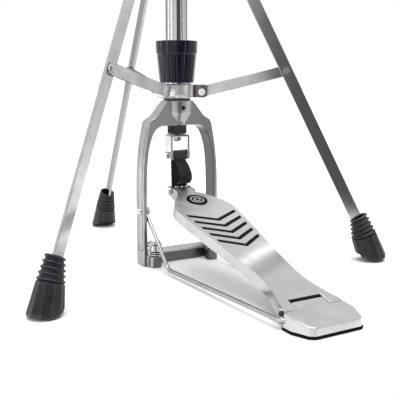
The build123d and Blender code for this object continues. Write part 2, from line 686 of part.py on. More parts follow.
# ---- sliding leg hub ----------------------------------------------------------------------------
HUB_HALF, SLIDE_R = 14.0, 17.5
EAR_GAP, EAR_OUT = 2.05, 6.0
with BuildPart() as leg_hub:
    with BuildSketch(Plane.XY.offset(LEG_TOP[1] - HUB_HALF)):
        Circle(SLIDE_R)
    extrude(amount=2 * HUB_HALF)
    for azimuth in LEG_AZIMUTHS.values():
        with BuildSketch(radial_plane(azimuth, EAR_OUT)):
            with Locations((25.0, LEG_TOP[1])):
                RectangleRounded(20, 16, 5)
        extrude(amount=2 * EAR_OUT)
        with BuildSketch(radial_plane(azimuth, EAR_GAP)):
            with Locations((33.0, LEG_TOP[1])):
                Rectangle(26, 30)
        extrude(amount=2 * EAR_GAP, mode=Mode.SUBTRACT)
        with BuildSketch(radial_plane(azimuth, 20)):
            with Locations(LEG_TOP):
                Circle(BOLT_R)
        extrude(amount=40, mode=Mode.SUBTRACT)
    with BuildSketch(Plane.XZ):
        with Locations((0, LEG_TOP[1])):
            Circle(7)
    extrude(amount=SLIDE_R + 5)
    with BuildSketch(Plane.XZ.offset(10)):
        with Locations((0, LEG_TOP[1])):
            Circle(BOLT_R + RUN)
    extrude(amount=20, mode=Mode.SUBTRACT)
    with BuildSketch(Plane.XY.offset(LEG_TOP[1] - 30)):
        Circle(TUBE_R + RUN)
    extrude(amount=60, mode=Mode.SUBTRACT)
save(leg_hub.part, "leg_hub")
save(radial_bolts(LEG_TOP, EAR_OUT, -EAR_OUT, 5.0, LEG_AZIMUTHS.values()), "leg_hub_bolts")


def front_plane(distance, height):
    """Plane facing the player (-Y), for wing screws that press on the column from the front."""
    return Plane(origin=(0, -distance, height), x_dir=(1, 0, 0), z_dir=(0, -1, 0))


save(wing_screw(front_plane(TUBE_R + 0.2, LEG_TOP[1]), BOLT_R, 12.5, 34, 15), "leg_hub_wing_screw")

# ---- height adjustment --------------------------------------------------------------------------
CLAMP_Z = TUBE_TOP - 2
with BuildPart() as height_clamp:
    with BuildSketch(Plane.XZ):
        Polygon((TUBE_R, CLAMP_Z - 18), (SLIDE_R, CLAMP_Z - 18), (SLIDE_R, CLAMP_Z + 12),
                (SLIDE_R - 2.5, CLAMP_Z + 17), (UPPER_R + RUN, CLAMP_Z + 17), (UPPER_R + RUN, TUBE_TOP),
                (TUBE_R, TUBE_TOP), align=None)
    revolve(axis=Axis.Z)
    with BuildSketch(Plane.XZ.offset(14)):
        with Locations((0, CLAMP_Z + 8)):
            Circle(6)
    extrude(amount=10)
    with BuildSketch(Plane.XZ.offset(8)):
        with Locations((0, CLAMP_Z + 8)):
            Circle(BOLT_R + RUN)
    extrude(amount=20, mode=Mode.SUBTRACT)
    with BuildSketch(Plane.XY.offset(TUBE_TOP)):
        Circle(UPPER_R + RUN)
    extrude(amount=60, mode=Mode.SUBTRACT)
save(height_clamp.part, "height_clamp")
save(wing_screw(front_plane(UPPER_R + 0.2, CLAMP_Z + 8), BOLT_R, 17.5, 34, 15), "height_wing_screw")
save(tube(UPPER_R, UPPER_R - UPPER_WALL, UPPER_BOTTOM, UPPER_TOP), "upper_tube")

# ---- cymbal seat --------------------------------------------------------------------------------
SEAT_Z, SLEEVE_R, SLEEVE_TOP = UPPER_TOP + 4, 5.6, 712.0
TILT_R, TILT_X = 2.5, 20.0
with BuildPart() as seat_cup:
    with BuildSketch(Plane.XZ):
        Polygon((ROD_R + 0.5, UPPER_TOP), (UPPER_R, UPPER_TOP), (UPPER_R, UPPER_TOP - 16),
                (13, UPPER_TOP - 16), (13, UPPER_TOP - 4), (26, UPPER_TOP), (26, SEAT_Z),
                (SLEEVE_R, SEAT_Z), (SLEEVE_R, SLEEVE_TOP), (ROD_R + 0.5, SLEEVE_TOP), align=None)
    revolve(axis=Axis.Z)
    with BuildSketch(Plane.XY.offset(UPPER_TOP - 10)):
        with Locations((TILT_X, 0)):
            Circle(TILT_R + RUN)
    extrude(amount=20, mode=Mode.SUBTRACT)
save(seat_cup.part, "seat_cup")
save(tube(16.8, SLEEVE_R, SEAT_Z, SEAT_Z + 8), "seat_felt")

with BuildPart() as seat_tilt_screw:
    with BuildSketch(Plane.XY.offset(UPPER_TOP - 13)):
        with Locations((TILT_X, 0)):
            Circle(5.6)
            with PolarLocations(5.6, 14):
                Circle(0.6, mode=Mode.SUBTRACT)
    extrude(amount=8)
    with BuildSketch(Plane.XY.offset(UPPER_TOP - 5)):
        with Locations((TILT_X, 0)):
            Circle(TILT_R)
    extrude(amount=14)
save(seat_tilt_screw.part, "seat_tilt_screw")

# ---- clutch for the upper cymbal ----------------------------------------------------------------
CLUTCH_LOW, CLUTCH_TOP, THREAD_R = 800.0, 868.0, 5.0
CYMBAL_GAP = (812.0, 816.0)
CLUTCH_SCREW_Z = CLUTCH_TOP - 10
with BuildPart() as clutch_body:
    with BuildSketch(Plane.XZ):
        Polygon((ROD_R + RUN, CLUTCH_LOW), (THREAD_R, CLUTCH_LOW), (THREAD_R, CLUTCH_TOP - 22),
                (9, CLUTCH_TOP - 20), (9, CLUTCH_TOP - 1), (8, CLUTCH_TOP), (ROD_R + RUN, CLUTCH_TOP),
                align=None)
    revolve(axis=Axis.Z)
    with BuildSketch(Plane.XZ.offset(ROD_R)):
        with Locations((0, CLUTCH_SCREW_Z)):
            Circle(2.5 + RUN)
    extrude(amount=12, mode=Mode.SUBTRACT)
save(clutch_body.part, "clutch_body")
save(wing_screw(front_plane(ROD_R + 0.2, CLUTCH_SCREW_Z), 2.5, 10.5, 28, 12), "clutch_wing_screw")

with BuildPart() as clutch_felts:
    for low in (CYMBAL_GAP[0] - 6, CYMBAL_GAP[1]):
        with BuildSketch(Plane.XY.offset(low)):
            Circle(14)
            Circle(THREAD_R, mode=Mode.SUBTRACT)
        extrude(amount=6)
save(clutch_felts.part, "clutch_felts")

with BuildPart() as clutch_nuts:
    for low, size in ((CLUTCH_LOW, 6), (CYMBAL_GAP[1] + 6, 4.5), (CYMBAL_GAP[1] + 11, 4.5)):
        with BuildSketch(Plane.XY.offset(low)):
            Circle(9.5)
            Circle(THREAD_R, mode=Mode.SUBTRACT)
            with PolarLocations(9.5, 16):
                Circle(0.8, mode=Mode.SUBTRACT)
        extrude(amount=size)
save(clutch_nuts.part, "clutch_nuts")

# ---- spur screws in the frame's feet ------------------------------------------------------------
for name, side in (("left", -1), ("right", 1)):
    with BuildPart() as spur:
        with BuildSketch(Plane.XY.offset(4.3)):
            with Locations((side * SPUR_X, SPUR_Y)):
                Circle(SPUR_R)
        extrude(amount=-4, taper=32)
        add(wing_screw(Plane(origin=(side * SPUR_X, SPUR_Y, 4.3), x_dir=(1, 0, 0)), SPUR_R, 16, 17, 13))
    save(spur.part, f"spur_screw_{name}")
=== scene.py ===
import json
from math import cos, pi, radians, sin

import bmesh
import bpy
from mathutils import Matrix, Vector


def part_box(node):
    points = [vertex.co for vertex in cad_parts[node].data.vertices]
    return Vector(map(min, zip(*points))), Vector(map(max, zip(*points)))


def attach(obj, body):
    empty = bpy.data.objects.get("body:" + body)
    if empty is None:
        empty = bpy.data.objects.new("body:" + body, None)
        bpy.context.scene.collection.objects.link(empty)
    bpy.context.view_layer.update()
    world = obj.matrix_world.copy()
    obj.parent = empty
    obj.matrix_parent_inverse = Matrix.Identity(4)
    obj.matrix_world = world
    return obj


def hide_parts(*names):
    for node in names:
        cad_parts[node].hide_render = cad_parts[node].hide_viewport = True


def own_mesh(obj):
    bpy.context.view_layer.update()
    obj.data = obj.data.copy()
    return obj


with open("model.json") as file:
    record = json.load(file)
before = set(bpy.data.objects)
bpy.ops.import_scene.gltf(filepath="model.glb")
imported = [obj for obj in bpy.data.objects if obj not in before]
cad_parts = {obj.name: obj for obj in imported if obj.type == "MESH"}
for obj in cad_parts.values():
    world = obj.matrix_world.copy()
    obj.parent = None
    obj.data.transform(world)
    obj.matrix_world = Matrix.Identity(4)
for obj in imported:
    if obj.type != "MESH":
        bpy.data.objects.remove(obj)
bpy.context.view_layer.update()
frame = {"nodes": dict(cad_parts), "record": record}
NODES = frame["nodes"]
BODY_OF = {node: body for body, nodes in frame["record"]["behaviour"]["bodies"].items() for node in nodes}
SLOT_OF = {entry["node"]: entry["material_slot"] for entry in frame["record"]["subparts"]}


# ---- materials ----------------------------------------------------------------------------------
class Shader:
    """A Principled material whose colour, roughness and relief come from procedural nodes."""

    def __init__(self, name):
        self.mat = bpy.data.materials.new(name)
        self.mat.use_nodes = True
        self.tree = self.mat.node_tree
        self.bsdf = self.tree.nodes["Principled BSDF"]
        self.coords = self.add("ShaderNodeTexCoord").outputs["Object"]
        self.height = None

    def add(self, kind, **values):
        node = self.tree.nodes.new(kind)
        for key, value in values.items():
            if hasattr(node, key):
                setattr(node, key, value)
            else:
                node.inputs[key].default_value = value
        return node

    def link(self, out, socket):
        self.tree.links.new(out, socket)

    def scaled(self, scale, turn=(0, 0, 0)):
        """Object coordinates turned and stretched, so that grain runs along one direction."""
        mapping = self.add("ShaderNodeMapping", vector_type="POINT")
        mapping.inputs["Scale"].default_value = scale
        mapping.inputs["Rotation"].default_value = turn
        self.link(self.coords, mapping.inputs["Vector"])
        return mapping.outputs["Vector"]

    def noise(self, size, detail=3.0, stretch=(1, 1, 1), turn=(0, 0, 0), rough=0.55):
        """Noise with features of about this size in metres."""
        node = self.add("ShaderNodeTexNoise", Scale=1.0, Detail=detail, Roughness=rough)
        self.link(self.scaled(tuple(s / size for s in stretch), turn), node.inputs["Vector"])
        return node.outputs["Fac"]

    def ramp(self, value, low, high, out_low, out_high):
        node = self.add("ShaderNodeMapRange")
        for key, number in (("From Min", low), ("From Max", high), ("To Min", out_low), ("To Max", out_high)):
            node.inputs[key].default_value = number
        self.link(value, node.inputs["Value"])
        return node.outputs["Result"]

    def mix(self, factor, first, second):
        node = self.add("ShaderNodeMix", data_type="RGBA")
        a, b = node.inputs[6], node.inputs[7]
        for socket, value in ((a, first), (b, second)):
            if isinstance(value, tuple):
                socket.default_value = (*value, 1)
            else:
                self.link(value, socket)
        self.link(factor, node.inputs[0])
        return node.outputs[2]

    def colour(self, value):
        self.link(value, self.bsdf.inputs["Base Color"])

    def roughness(self, value):
        self.link(value, self.bsdf.inputs["Roughness"])

    def relief(self, value, depth, strength=1.0):
        """Adds bump of this depth in metres on top of what is already there."""
        bump = self.add("ShaderNodeBump", Strength=strength, Distance=depth)
        self.link(value, bump.inputs["Height"])
        if self.height is not None:
            self.link(self.height, bump.inputs["Normal"])
        self.height = bump.outputs["Normal"]
        self.link(self.height, self.bsdf.inputs["Normal"])

    def edges(self, low=0.50, high=0.60):
        """1 on outer edges, 0 elsewhere."""
        geometry = self.add("ShaderNodeNewGeometry")
        return self.ramp(geometry.outputs["Pointiness"], low, high, 0.0, 1.0)

    def painted_shade_faces(self):
        """1 on the faces inside the arch and on the low front faces, where shade is painted."""
        normal = self.split(self.add("ShaderNodeTexCoord").outputs["Normal"])
        place = self.split(self.coords)
        inward = self.times(self.times(normal[0], place[0]), self.ramp(place[2], 0.182, 0.170, 0.0, 1.0))
        front = self.times(self.ramp(normal[1], -0.7, -0.9, 0.0, 0.84),
                           self.ramp(place[2], 0.050, 0.040, 0.0, 1.0))
        most = self.add("ShaderNodeMath", operation="MAXIMUM")
        self.link(self.ramp(inward, -0.008, -0.024, 0.0, 1.0), most.inputs[0])
        self.link(front, most.inputs[1])
        return most.outputs[0]

    def split(self, vector):
        node = self.add("ShaderNodeSeparateXYZ")
        self.link(vector, node.inputs[0])
        return node.outputs

    def times(self, first, second):
        node = self.add("ShaderNodeMath", operation="MULTIPLY")
        self.link(first, node.inputs[0])
        self.link(second, node.inputs[1])
        return node.outputs[0]

    def set(self, **values):
        for key, value in values.items():
            self.bsdf.inputs[key.replace("_", " ")].default_value = value


def metal(name, base, dark, rough, stretch=(1, 1, 1), turn=(0, 0, 0), grain=0.0004, depth=0.000004,
          blotch=0.02, painted_edge_highlight=None, cast=0.0, rim=None, arch_painted_shade=None, satin_toe=None, lug=None,
          rear_leg_painted_shade=None):
    """Metal with directional grain and a cloudy tone.

    cast adds a cast skin of that depth, the edge colour paints a highlight on the outer edges, rim darkens
    what is seen edge on, the shade colour paints shade on the faces inside the arch and on the low front
    faces, satin_toe roughens the board towards its toe, lug sets the tone of the ring's right lug and the
    last colour paints shade on the leg at the back.
    """
    s = Shader(name)
    s.set(Metallic=1.0)
    cloud = s.noise(blotch, 4.0)
    streak = s.noise(grain, 2.0, stretch, turn)
    tone = s.mix(s.ramp(cloud, 0.35, 0.65, 0.0, 1.0), base, dark)
    tone = s.mix(s.ramp(streak, 0.3, 0.75, 0.0, 0.35), tone, dark)
    rough_map = s.ramp(cloud, 0.3, 0.7, rough * 0.8, rough * 1.25)
    # painted shade: darkens the faces inside the arch and the low front faces
    if arch_painted_shade:
        tone = s.mix(s.painted_shade_faces(), tone, arch_painted_shade)
    # painted highlight: lightens the outer edges
    if painted_edge_highlight:
        tone = s.mix(s.edges(), tone, painted_edge_highlight)
    if lug:
        ribs = s.mix(s.ramp(s.noise(0.0016, 1.0, (1, 1, 0.01)), 0.40, 0.62, 0.0, 0.22), lug, base)
        tone = s.mix(s.ramp(s.split(s.coords)[0], 0.0128, 0.0136, 0.0, 1.0), tone, ribs)
    # painted shade: darkens the leg at the back
    if rear_leg_painted_shade:
        tone = s.mix(s.ramp(s.split(s.coords)[1], 0.02, 0.06, 0.0, 1.0), tone, rear_leg_painted_shade)
    if satin_toe:
        toe = s.ramp(s.split(s.coords)[1], -0.165, -0.085, 1.0, satin_toe)
        rough_map = s.times(rough_map, toe)
    s.colour(tone)
    s.roughness(rough_map)
    s.relief(streak, depth)
    if cast:
        s.relief(s.noise(0.0008, 4.0, rough=0.6), cast)
    if rim is not None:
        s.set(Specular_Tint=(rim, rim, rim, 1))
    return s


def plastic(name, base, light, rough, grain=0.0006, depth=0.00002, specular=0.5, painted_edge_highlight=None):
    """Moulded plastic or rubber with a fine skin, a cloudy tone and, where an edge colour is given, a painted
    highlight on its edges.
    """
    s = Shader(name)
    cloud = s.noise(0.012, 4.0)
    tone = s.mix(s.ramp(cloud, 0.35, 0.7, 0.0, 1.0), base, light)
    # painted highlight: lightens the outer edges
    if painted_edge_highlight:
        tone = s.mix(s.edges(0.51, 0.62), tone, painted_edge_highlight)
    s.colour(tone)
    s.roughness(s.ramp(cloud, 0.3, 0.7, rough * 0.85, rough * 1.2))
    s.relief(s.noise(grain, 3.0), depth)
    s.set(Specular_IOR_Level=specular)
    return s


BOARD_SLOPE = radians(17.1)
BOARD_TURN = (-BOARD_SLOPE, 0, 0)
MATS = {
    # painted shade inside the arch and on the low front faces
    "cast_silver": metal("cast_silver", (0.46, 0.46, 0.46), (0.36, 0.36, 0.36), 0.32, grain=0.0012,
                         stretch=(1, 1, 0.15), cast=0.00002, arch_painted_shade=(0.095, 0.095, 0.094)),
    "board_silver": metal("board_silver", (0.56, 0.56, 0.56), (0.50, 0.50, 0.50), 0.15,
                          stretch=(1, 0.02, 0.3), turn=BOARD_TURN, grain=0.0003, depth=0.000002,
                          satin_toe=2.9),
    "heel_silver": metal("heel_silver", (0.58, 0.58, 0.57), (0.50, 0.50, 0.49), 0.24, cast=0.000012),
    "ring_silver": metal("ring_silver", (0.80, 0.79, 0.78), (0.62, 0.60, 0.59), 0.46, blotch=0.008,
                         cast=0.00001, lug=(0.07, 0.055, 0.05)),
    "chrome_tube": metal("chrome_tube", (0.60, 0.60, 0.61), (0.52, 0.52, 0.53), 0.12, stretch=(1, 1, 0.05),
                         rim=0.0),
    "chrome_wire": metal("chrome_wire", (0.52, 0.52, 0.52), (0.42, 0.42, 0.42), 0.08, rim=0.02),
    "clevis_chrome": metal("clevis_chrome", (0.84, 0.84, 0.85), (0.70, 0.70, 0.71), 0.10, rim=0.1),
    # painted shade on the leg at the back
    "leg_chrome": metal("leg_chrome", (0.60, 0.60, 0.60), (0.48, 0.48, 0.48), 0.14, stretch=(1, 1, 0.03),
                        grain=0.0004, depth=0.000003, rim=0.3, rear_leg_painted_shade=(0.42, 0.42, 0.42)),
    # painted highlight on the screws' edges
    "bright_screws": metal("bright_screws", (0.72, 0.72, 0.72), (0.55, 0.55, 0.55), 0.16,
                           painted_edge_highlight=(0.9, 0.9, 0.9), rim=0.1),
    "spring_steel": metal("spring_steel", (0.4, 0.4, 0.41), (0.3, 0.3, 0.31), 0.35),
    "black_steel": metal("black_steel", (0.085, 0.085, 0.083), (0.05, 0.05, 0.05), 0.35),
    "black_plastic": plastic("black_plastic", (0.03, 0.03, 0.03), (0.05, 0.05, 0.05), 0.5,
                             specular=0.25),
    # painted highlight along the flute edges of the knob
    "knob_black": plastic("knob_black", (0.004, 0.003, 0.010), (0.007, 0.005, 0.015), 0.11, depth=0.000002,
                          specular=0.3, painted_edge_highlight=(0.06, 0.055, 0.08)),
    "badge_black": plastic("badge_black", (0.005, 0.005, 0.006), (0.009, 0.009, 0.010), 0.55, depth=0.000004,
                           specular=0.04),
    "black_rubber": plastic("black_rubber", (0.004, 0.004, 0.005), (0.009, 0.009, 0.009), 0.7, specular=0.05),
    # painted highlight on the edges of the feet
    "foot_rubber": plastic("foot_rubber", (0.006, 0.005, 0.008), (0.016, 0.014, 0.019), 0.42, depth=0.00004,
                           specular=0.35, painted_edge_highlight=(0.07, 0.065, 0.075)),
    "black_belt": plastic("black_belt", (0.008, 0.008, 0.009), (0.018, 0.018, 0.019), 0.6, specular=0.25),
    "grey_felt": plastic("grey_felt", (0.20, 0.20, 0.19), (0.28, 0.28, 0.27), 0.95, grain=0.0009,
                         depth=0.0004),
}
MATS = {name: shader.mat for name, shader in MATS.items()}
for node, obj in NODES.items():
    for slot in obj.material_slots:
        slot.material = MATS[SLOT_OF[node]]


# ---- building blocks ----------------------------------------------------------------------------
def piece(name, verts, faces, slot, body, smooth_angle=40.0):
    """Mesh object from vertices and faces, smooth except across edges sharper than the angle."""
    mesh = bpy.data.meshes.new(name)
    mesh.from_pydata(verts, [], faces)
    mesh.validate()
    finish(mesh, slot, smooth_angle)
    obj = bpy.data.objects.new(name, mesh)
    bpy.context.scene.collection.objects.link(obj)
    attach(obj, body)
    return obj


def finish(mesh, slot, smooth_angle):
    bm = bmesh.new()
    bm.from_mesh(mesh)
    bmesh.ops.recalc_face_normals(bm, faces=bm.faces)
    bm.to_mesh(mesh)
    bm.free()
    mesh.materials.clear()
    mesh.materials.append(MATS[slot])
    for face in mesh.polygons:
        face.use_smooth = True
    mesh.set_sharp_from_angle(angle=radians(smooth_angle))


def applied(obj):
    """Bakes the object's modifiers into its mesh."""
    graph = bpy.context.evaluated_depsgraph_get()
    mesh = bpy.data.meshes.new_from_object(obj.evaluated_get(graph))
    obj.modifiers.clear()
    obj.data = mesh


def refined(node, width, segments=2, limit=32.0, cuts=(), merge=2e-6):
    """Copy of a CAD node with broken edges, which stands for it."""
    source = NODES[node]
    slot = SLOT_OF[node]
    mesh = source.data.copy()
    for name in [a.name for a in mesh.attributes if a.name == "custom_normal"]:
        mesh.attributes.remove(mesh.attributes[name])
    bm = bmesh.new()
    bm.from_mesh(mesh)
    for x in cuts:
        bmesh.ops.bisect_plane(bm, geom=[*bm.verts, *bm.edges, *bm.faces], dist=1e-6,
                               plane_co=(x, 0, 0), plane_no=(1, 0, 0))
    bmesh.ops.remove_doubles(bm, verts=bm.verts, dist=merge)
    bmesh.ops.dissolve_limit(bm, angle_limit=radians(0.6), verts=bm.verts, edges=bm.edges)
    bm.to_mesh(mesh)
    bm.free()
    for face in mesh.polygons:
        face.use_smooth = True
    mesh.set_sharp_from_angle(angle=radians(28))
    obj = bpy.data.objects.new(node + "_finished", mesh)
    bpy.context.scene.collection.objects.link(obj)
    bevel = obj.modifiers.new("edges", "BEVEL")
    bevel.width = width
    bevel.segments = segments
    bevel.limit_method = "ANGLE"
    bevel.angle_limit = radians(limit)
    bevel.use_clamp_overlap = False
    bevel.harden_normals = True
    weighted = obj.modifiers.new("weights", "WEIGHTED_NORMAL")
    weighted.keep_sharp = True
    weighted.weight = 80
    applied(obj)
    obj.data.materials.clear()
    obj.data.materials.append(MATS[slot])
    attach(obj, BODY_OF[node])
    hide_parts(node)
    return obj


# ---- rubber feet --------------------------------------------------------------------------------
FOOT_SEGMENTS = 96
FOOT_FACETS = 12
SOLE_LOW_R = 0.2486


def sole_height(r):
    """The sole rocks up on both sides of its lowest line and has bars moulded across it."""
    away = r - SOLE_LOW_R
    rocker = away ** 2 * (28.6 if away > 0 else 15.3)
    groove = 0.5 - 0.5 * cos((away + 0.0009) * 2 * pi / 0.0060)
    return rocker + 0.0019 * groove ** 1.4


def foot_ring(r, z, tilt, deep, wide, facet):
    """Ring of (radial, sideways, height) points round a tilted centre, flattened into panels."""
    points = []
    step = 2 * pi / FOOT_FACETS
    for k in range(FOOT_SEGMENTS):
        phi = 2 * pi * k / FOOT_SEGMENTS
        flat = 1 - (1 - cos(step / 2) / cos((phi % step) - step / 2)) * facet
        a = cos(phi) * deep * flat
        points.append((r + a * cos(tilt), sin(phi) * wide * flat, z + a * sin(tilt)))
    return points


def foot(name, azimuth):
    """Rubber boot of one foot: ribbed socket, straight-sided hoof, barred rocking sole."""
    rings = []
    for drop, shrink in ((0.0085, 0.74), (0.0012, 0.78), (0.0, 0.86)):
        rings.append(foot_ring(0.225 + drop * 0.448, 0.0548 - drop * 0.894, radians(27), 0.0106 * shrink,
                               0.0098 * shrink, 0.0))
    for i in range(51):
        v = i / 50
        rib = (0.5 + 0.5 * cos((v - 0.05) * 2 * pi / 0.215)) ** 1.5
        rings.append(foot_ring(0.225 + 0.0082 * v, 0.0548 - 0.0243 * v, radians(27 - 7 * v),
                               0.0092 + 0.0048 * v + 0.0023 * rib, 0.0085 + 0.0036 * v + 0.0021 * rib, 0.0))
    top = foot_ring(0.2333, 0.0302, radians(20), 0.0158, 0.0138, 1.0)
    edge = foot_ring(0.2418, 0.0, 0.0, 0.0198, 0.0180, 1.0)
    edge = [(r, t, sole_height(r) + 0.0014) for r, t, z in edge]
    for i in range(15):
        u = i / 14
        rings.append([tuple(a * (1 - u) + b * u for a, b in zip(p, q)) for p, q in zip(top, edge)])
    for j in range(26):
        size = 1 - (j + 0.35) / 26
        ring = foot_ring(0.2418, 0.0, 0.0, 0.0198 * size, 0.0180 * size, 1.0)
        rings.append([(r, t, sole_height(r)) for r, t, z in ring])
    verts = []
    for ring in rings:
        for r, t, z in ring:
            verts.append((r * cos(azimuth) - t * sin(azimuth), r * sin(azimuth) + t * cos(azimuth), z))
    faces = [tuple(reversed(range(FOOT_SEGMENTS)))]
    for i in range(len(rings) - 1):
        for k in range(FOOT_SEGMENTS):
            a, b = i * FOOT_SEGMENTS + k, i * FOOT_SEGMENTS + (k + 1) % FOOT_SEGMENTS
            faces.append((a, b, b + FOOT_SEGMENTS, a + FOOT_SEGMENTS))
    faces.append(tuple((len(rings) - 1) * FOOT_SEGMENTS + k for k in range(FOOT_SEGMENTS)))
    obj = piece(name + "_boot", verts, faces, "foot_rubber", BODY_OF[name], 22.0)
    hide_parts(name)
    return obj


for name, degree in (("foot_left", 210), ("foot_right", 330), ("foot_rear", 90)):
    foot(name, radians(degree))


# ---- drive strap --------------------------------------------------------------------------------
def smooth_path(points, steps):
    """Catmull-Rom curve through points of the YZ plane."""
    points = [Vector(p) for p in points]
    ends = [points[0] * 2 - points[1], *points, points[-1] * 2 - points[-2]]
    path = []
    for a, b, c, d in zip(ends, ends[1:], ends[2:], ends[3:]):
        for i in range(steps):
            t = i / steps
            path.append(0.5 * (2 * b + (c - a) * t + (2 * a - 5 * b + 4 * c - d) * t ** 2
                               + (3 * b - a - 3 * c + d) * t ** 3))
    path.append(points[-1])
    return path


def belt(name, route, width, thickness, slot, body):
    """Flat belt along a route in the YZ plane, with rounded edges and a sewn channel near each edge."""
    path = smooth_path(route, 8)
    profile = []
    across = 18
    half = width / 2
    for i in range(across + 1):
        x = -half + width * i / across
        edge = abs(x) / half
        t = thickness / 2 * (1 - max(0.0, edge - 0.86) ** 2 * 24)
        if 0.66 < edge < 0.80:
            t -= 0.00016
        profile.append((x, max(t, thickness * 0.18)))
    loop = profile + [(x, -t) for x, t in reversed(profile)]
    count = len(loop)
    verts, faces = [], []
    for i, p in enumerate(path):
        before, after = path[max(0, i - 1)], path[min(len(path) - 1, i + 1)]
        along = (after - before).normalized()
        normal = Vector((-along.y, along.x))
        for x, t in loop:
            at = p + normal * t
            verts.append((x, at.x, at.y))
    for i in range(len(path) - 1):
        for k in range(count):
            a, b = i * count + k, i * count + (k + 1) % count
            faces.append((a, b, b + count, a + count))
    faces.append(tuple(range(count)))
    faces.append(tuple((len(path) - 1) * count + k for k in reversed(range(count))))
    return piece(name, verts, faces, slot, body, 50.0)


STRAP_ROUTE = [(0.0024, 0.1298), (0.0024, 0.1255), (0.0021, 0.115), (0.0016, 0.102), (0.0011, 0.0915),
               (0.0002, 0.0866), (-0.0040, 0.0839), (-0.0082, 0.0866), (-0.0092, 0.0925), (-0.0105, 0.0972),
               (-0.0150, 0.0991), (-0.0205, 0.1012), (-0.0236, 0.1060), (-0.0222, 0.1125),
               (-0.0165, 0.1195), (-0.0098, 0.1246), (-0.0064, 0.1276), (-0.0064, 0.1298)]
STRAP_WIDTH, STRAP_THICKNESS = 0.0146, 0.0022
strap = belt("strap_belt", STRAP_ROUTE, STRAP_WIDTH, STRAP_THICKNESS, "black_belt", "strap")
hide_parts("strap")


# ---- toe badge ----------------------------------------------------------------------------------
BOARD_HEEL_Y, BOARD_HEEL_Z = -0.266, 0.0161
BADGE_UP_BOARD = 0.2275    # from the board's heel end to the badge's centre
BADGE_RINGS = ((0.0068, 0.0086), (0.0026, 0.0044))


def on_board(x, s, n):
    """Point of the footboard's own frame: across, up the slope, above the top."""
    c, q = cos(BOARD_SLOPE), sin(BOARD_SLOPE)
    return (x, BOARD_HEEL_Y + s * c - n * q, BOARD_HEEL_Z + s * q + n * c)


def lathe_on_board(name, s, profile, slot, segments=72):
    """Round piece standing on the footboard, turned from (radius, height) points."""
    verts, faces = [], []
    for r, n in profile:
        for k in range(segments):
            a = 2 * pi * k / segments
            verts.append(on_board(r * cos(a), s + r * sin(a), n))
    for i in range(len(profile) - 1):
        for k in range(segments):
            a, b = i * segments + k, i * segments + (k + 1) % segments
            faces.append((a, b, b + segments, a + segments))
    faces.append(tuple(range(segments)))
    faces.append(tuple((len(profile) - 1) * segments + k for k in reversed(range(segments))))
    return piece(name, verts, faces, slot, "footboard", 35.0)


badge = lathe_on_board("toe_badge_disc", BADGE_UP_BOARD,
                       [(0.0126, 0.0), (0.0126, 0.0007), (0.0122, 0.00105), (0.0117, 0.0011),
                        (0.0112, 0.0008), (0.0008, 0.0008)], "badge_black")
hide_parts("toe_badge")
for i, (inner, outer) in enumerate(BADGE_RINGS):
    ring = [(inner, 0.0006), (inner, 0.00115), (inner + 0.0001, 0.00125), (outer - 0.0001, 0.00125),
            (outer, 0.00115), (outer, 0.0006)]
    lathe_on_board(f"toe_badge_ring_{i}", BADGE_UP_BOARD, ring, "board_silver")

# ---- small fittings -----------------------------------------------------------------------------
def bar(name, low, high, slot, body, round_=0.0006):
    """Bar across the pedal with rounded long edges, between two opposite corners of its box."""
    right = high[0]
    y0, y1, z0, z1 = low[1], high[1], low[2], high[2]
    section = []
    for cy, cz, start in ((y1 - round_, z1 - round_, 0), (y0 + round_, z1 - round_, 90),
                          (y0 + round_, z0 + round_, 180), (y1 - round_, z0 + round_, 270)):
        for k in range(5):
            a = radians(start + 22.5 * k)
            section.append((cy + round_ * cos(a), cz + round_ * sin(a)))
    count = len(section)
    stations = [(low[0], 0.75), (low[0] + round_, 1.0), (right - round_, 1.0), (right, 0.75)]
    my, mz = (y0 + y1) / 2, (z0 + z1) / 2
    verts = [(x, my + (y - my) * k, mz + (z - mz) * k) for x, k in stations for y, z in section]
    faces = [tuple(range(count)), tuple(3 * count + k for k in reversed(range(count)))]
    for i in range(3):
        for k in range(count):
            a, b = i * count + k, i * count + (k + 1) % count
            faces.append((a, a + count, b + count, b))
    return piece(name, verts, faces, slot, body, 50.0)


# Black bar filling the gap between the heel tongue and the board: a painted shadow where the gap lies in
# shade.
bar("heel_gap_painted_shadow", (-0.0185, -0.2547, 0.0085), (0.0185, -0.2512, 0.0202), "black_rubber",
    BODY_OF["heel_plate"], 0.0004)

CLIP_WIDTH, CLIP_EDGE = 0.0044, 0.0005
for i, left in enumerate((-0.0098, -0.0032, 0.0034)):
    bar(f"strap_end_clip_{i}", (left, -0.0128, 0.0928), (left + CLIP_WIDTH, -0.0100, 0.0954),
        "bright_screws", "strap", CLIP_EDGE)

# ---- ribbed collars on the spur screws ----------------------------------------------------------
COLLAR_LOW, COLLAR_HIGH, COLLAR_RIBS = 0.0132, 0.0207, 3
SPUR_Y, SLEEVE_BORE_R = -0.015, 0.0031
SPUR_CORE_R, SPUR_RIB_R = 0.0047, 0.0056


def turned(name, centre, loops, slot, body, segments=48):
    """Rings turned about an upright axis, each from a closed loop of (radius, height) points."""
    verts, faces = [], []
    for loop in loops:
        first, count = len(verts), len(loop)
        for k in range(segments):
            a = 2 * pi * k / segments
            verts.extend((centre[0] + r * cos(a), centre[1] + r * sin(a), z) for r, z in loop)
        for k in range(segments):
            here, there = first + k * count, first + (k + 1) % segments * count
            for i in range(count):
                j = (i + 1) % count
                faces.append((here + i, here + j, there + j, there + i))
    return piece(name, verts, faces, slot, body, 40.0)


